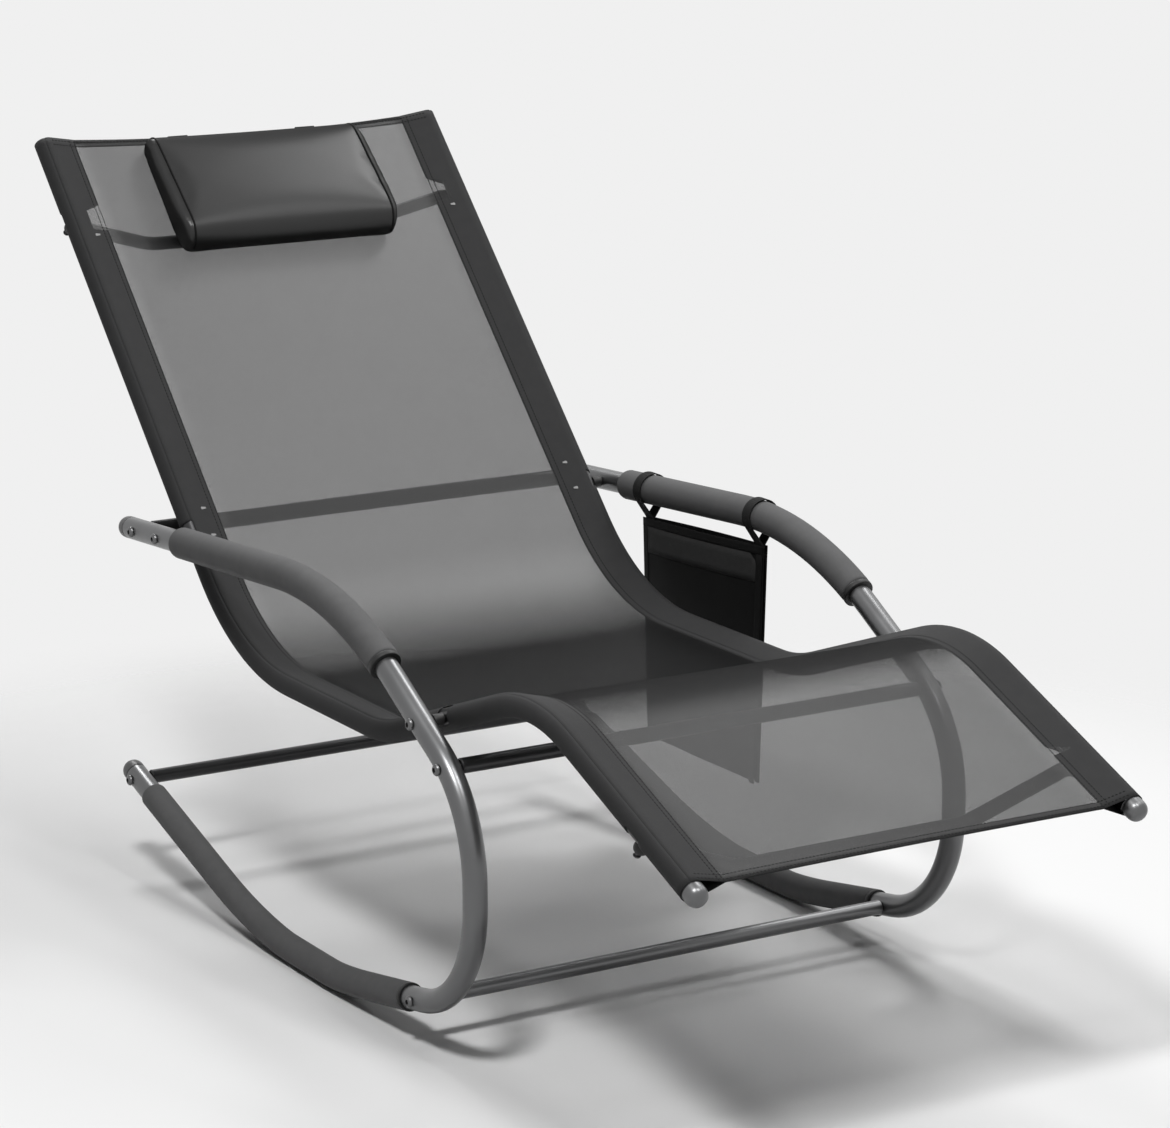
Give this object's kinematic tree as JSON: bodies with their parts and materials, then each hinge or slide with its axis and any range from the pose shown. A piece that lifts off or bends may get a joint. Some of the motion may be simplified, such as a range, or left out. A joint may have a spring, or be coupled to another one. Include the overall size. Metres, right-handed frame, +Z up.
{
  "type": "rocking lounge chair",
  "caption": "Outdoor rocking lounger with bent tube side frames on curved runners, a mesh sling on S-shaped rails, sleeved arms, a head pillow and a hanging side bag.",
  "frame": {"origin": "on the floor, in the middle of the chair's plan outline, with the chair level on the flat of its runners", "axes": "+Z up, +Y from the foot end to the head end, +X to the sitter's left"},
  "size_m": [0.618, 1.4405, 0.8126],
  "materials": {
    "frame_tube": "satin",
    "foam_sleeve": "matte",
    "rubber_ring": "matte",
    "plastic_trim": "satin",
    "fastener": "satin",
    "mesh_sling": "matte",
    "pillow_cover": "satin",
    "bag_cloth": "matte",
    "webbing": "matte"
  },
  "bodies": {
    "chair": {"left_rocker_tube": "frame_tube", "left_rocker_rear_cap": "plastic_trim", "left_arm_tube": "frame_tube", "left_arm_rear_cap": "plastic_trim", "left_rocker_sleeve": "foam_sleeve", "left_rocker_ring": "rubber_ring", "left_arm_sleeve": "foam_sleeve", "left_arm_ring": "rubber_ring", "left_seat_rail": "frame_tube", "left_rail_foot_cap": "frame_tube", "left_rail_head_cap": "frame_tube", "left_rear_crossbar_bolt": "fastener", "left_front_crossbar_bolt": "fastener", "left_seat_crossbar_bolt": "fastener", "left_back_crossbar_bolt": "fastener", "left_front_rail_bolt": "fastener", "left_rear_rail_bolt": "fastener", "left_front_rail_spacer": "plastic_trim", "left_rear_rail_spacer": "plastic_trim", "left_foot_brace_screw": "fastener", "left_head_brace_screw": "fastener", "right_rocker_tube": "frame_tube", "right_rocker_rear_cap": "plastic_trim", "right_arm_tube": "frame_tube", "right_arm_rear_cap": "plastic_trim", "right_rocker_sleeve": "foam_sleeve", "right_rocker_ring": "rubber_ring", "right_arm_sleeve": "foam_sleeve", "right_arm_ring": "rubber_ring", "right_seat_rail": "frame_tube", "right_rail_foot_cap": "frame_tube", "right_rail_head_cap": "frame_tube", "right_rear_crossbar_bolt": "fastener", "right_front_crossbar_bolt": "fastener", "right_seat_crossbar_bolt": "fastener", "right_back_crossbar_bolt": "fastener", "right_front_rail_bolt": "fastener", "right_rear_rail_bolt": "fastener", "right_front_rail_spacer": "plastic_trim", "right_rear_rail_spacer": "plastic_trim", "right_foot_brace_screw": "fastener", "right_head_brace_screw": "fastener", "rear_crossbar": "frame_tube", "front_crossbar": "frame_tube", "seat_crossbar": "frame_tube", "back_crossbar": "frame_tube", "foot_brace": "frame_tube", "head_brace": "frame_tube", "sling": "mesh_sling"},
    "pillow": {"pillow": "pillow_cover", "left_pillow_strap": "webbing", "right_pillow_strap": "webbing"},
    "bag": {"side_bag": "bag_cloth", "bag_front_strap": "webbing", "bag_rear_strap": "webbing"}
  },
  "joints": [
    {"name": "pillow_lift", "type": "slide", "parent": "chair", "child": "pillow", "axis": [0, 0.6959, 0.7181], "range_m": [0, 0.2]},
    {"name": "bag_swing", "type": "hinge", "parent": "chair", "child": "bag", "pos_m": [0.29, 0.122, 0.4216], "axis": [0, -0.9984, 0.0565], "range_deg": [-4, 60]}
  ]
}
